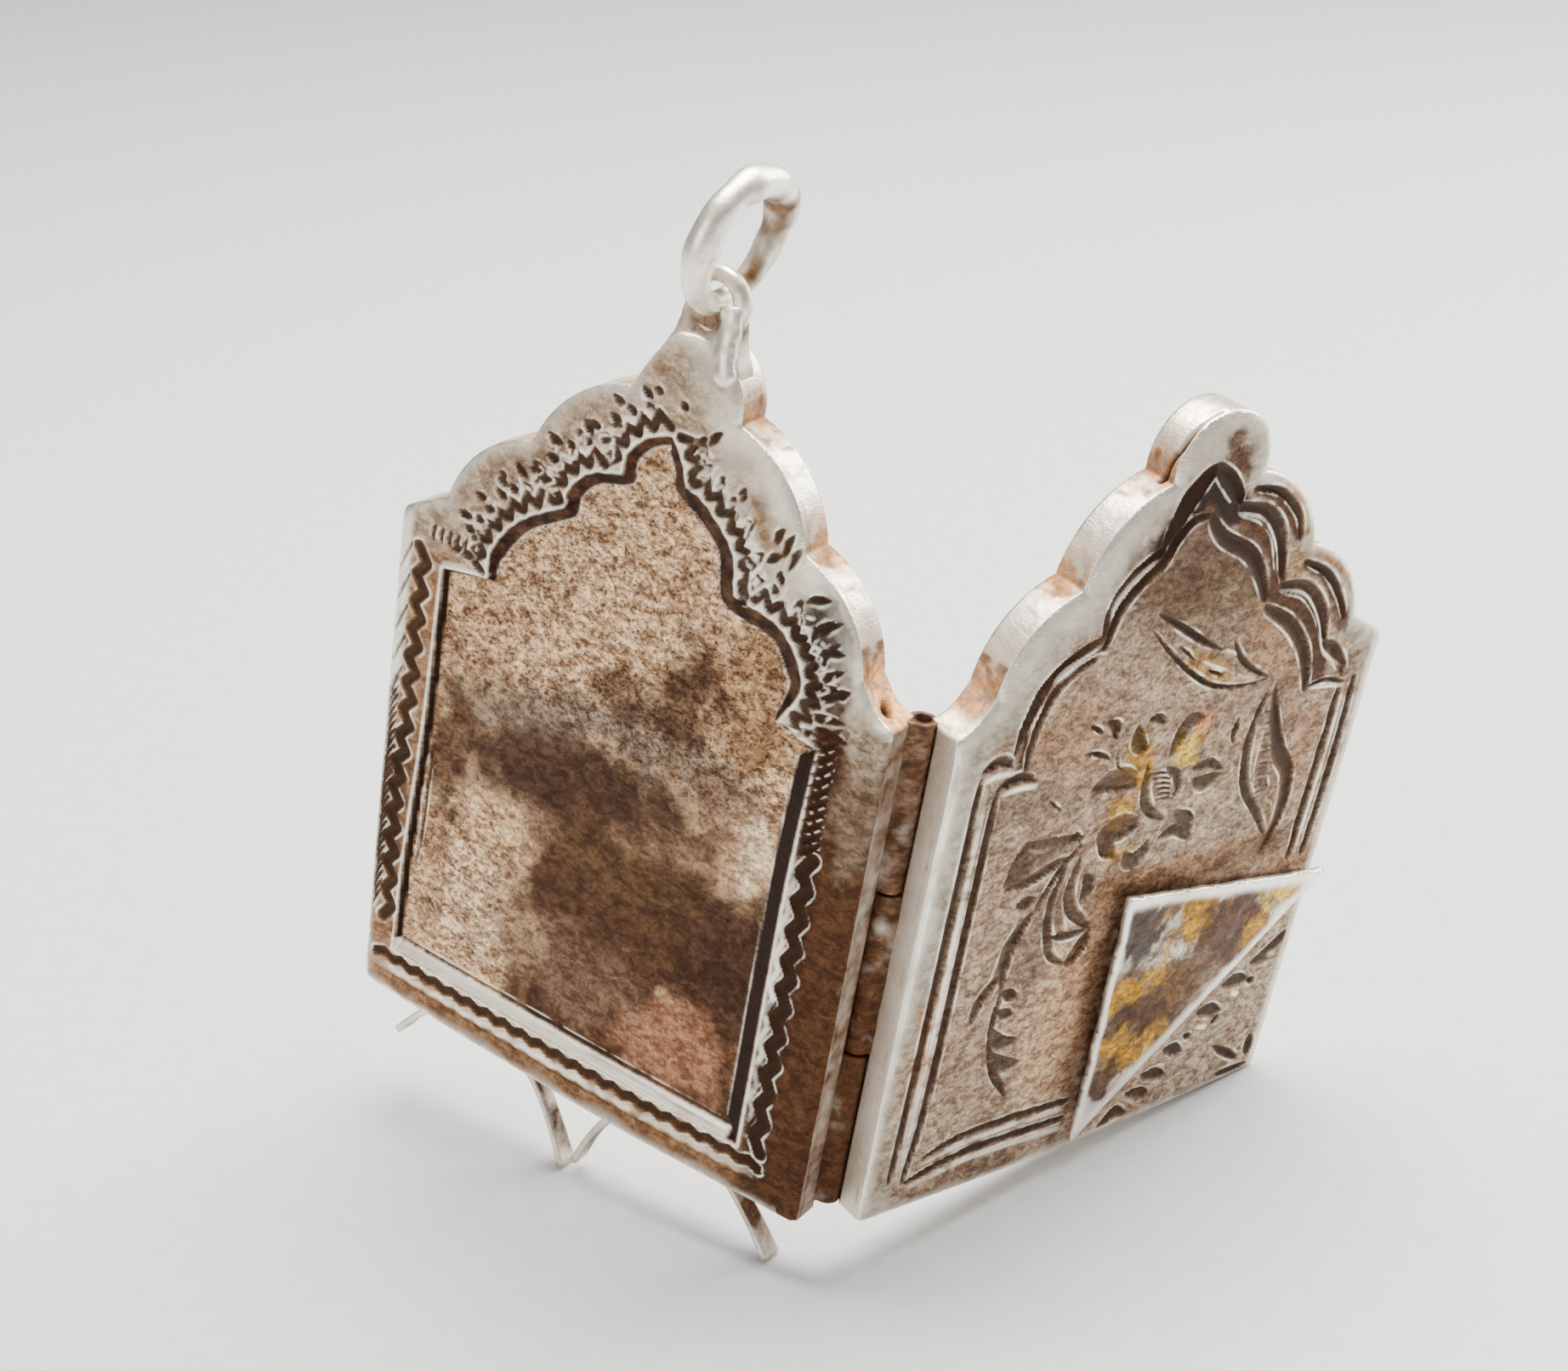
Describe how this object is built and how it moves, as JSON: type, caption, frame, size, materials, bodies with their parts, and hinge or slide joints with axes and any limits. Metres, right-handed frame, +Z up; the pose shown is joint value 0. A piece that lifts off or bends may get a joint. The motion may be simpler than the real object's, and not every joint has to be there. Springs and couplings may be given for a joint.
{
  "type": "book locket pendant",
  "caption": "Hinged silver book locket, standing half open: arched, engraved covers with lobed tops on a spine hinge, a bail with a ring, and ribbon feet.",
  "frame": {"origin": "on the ground that the locket stands on, under the middle of its box", "axes": "+Z up, -Y to the spine of the open locket, +X from the window cover to the flower cover"},
  "size_m": [0.0444, 0.0158, 0.0455],
  "materials": {
    "worn_silver": "tarnished and engraved",
    "dark_silver": "dark with tarnish",
    "bright_silver": "polished by wear"
  },
  "bodies": {
    "window": {"window_cover": "worn_silver", "hinge_pin": "dark_silver"},
    "flower": {"flower_cover": "worn_silver"},
    "ring": {"suspension_ring": "bright_silver"}
  },
  "joints": [
    {"name": "cover_hinge", "type": "hinge", "parent": "window", "child": "flower", "pos_m": [0, -0.00633, 0.01455], "axis": [0.1621, -0.0026, 0.9868], "range_deg": [-72, 108]},
    {"name": "ring_swing", "type": "hinge", "parent": "window", "child": "ring", "pos_m": [-0.00534, -0.0008, 0.04012], "axis": [-0.5802, -0.8091, 0.0932], "range_deg": [-78, 102]}
  ]
}
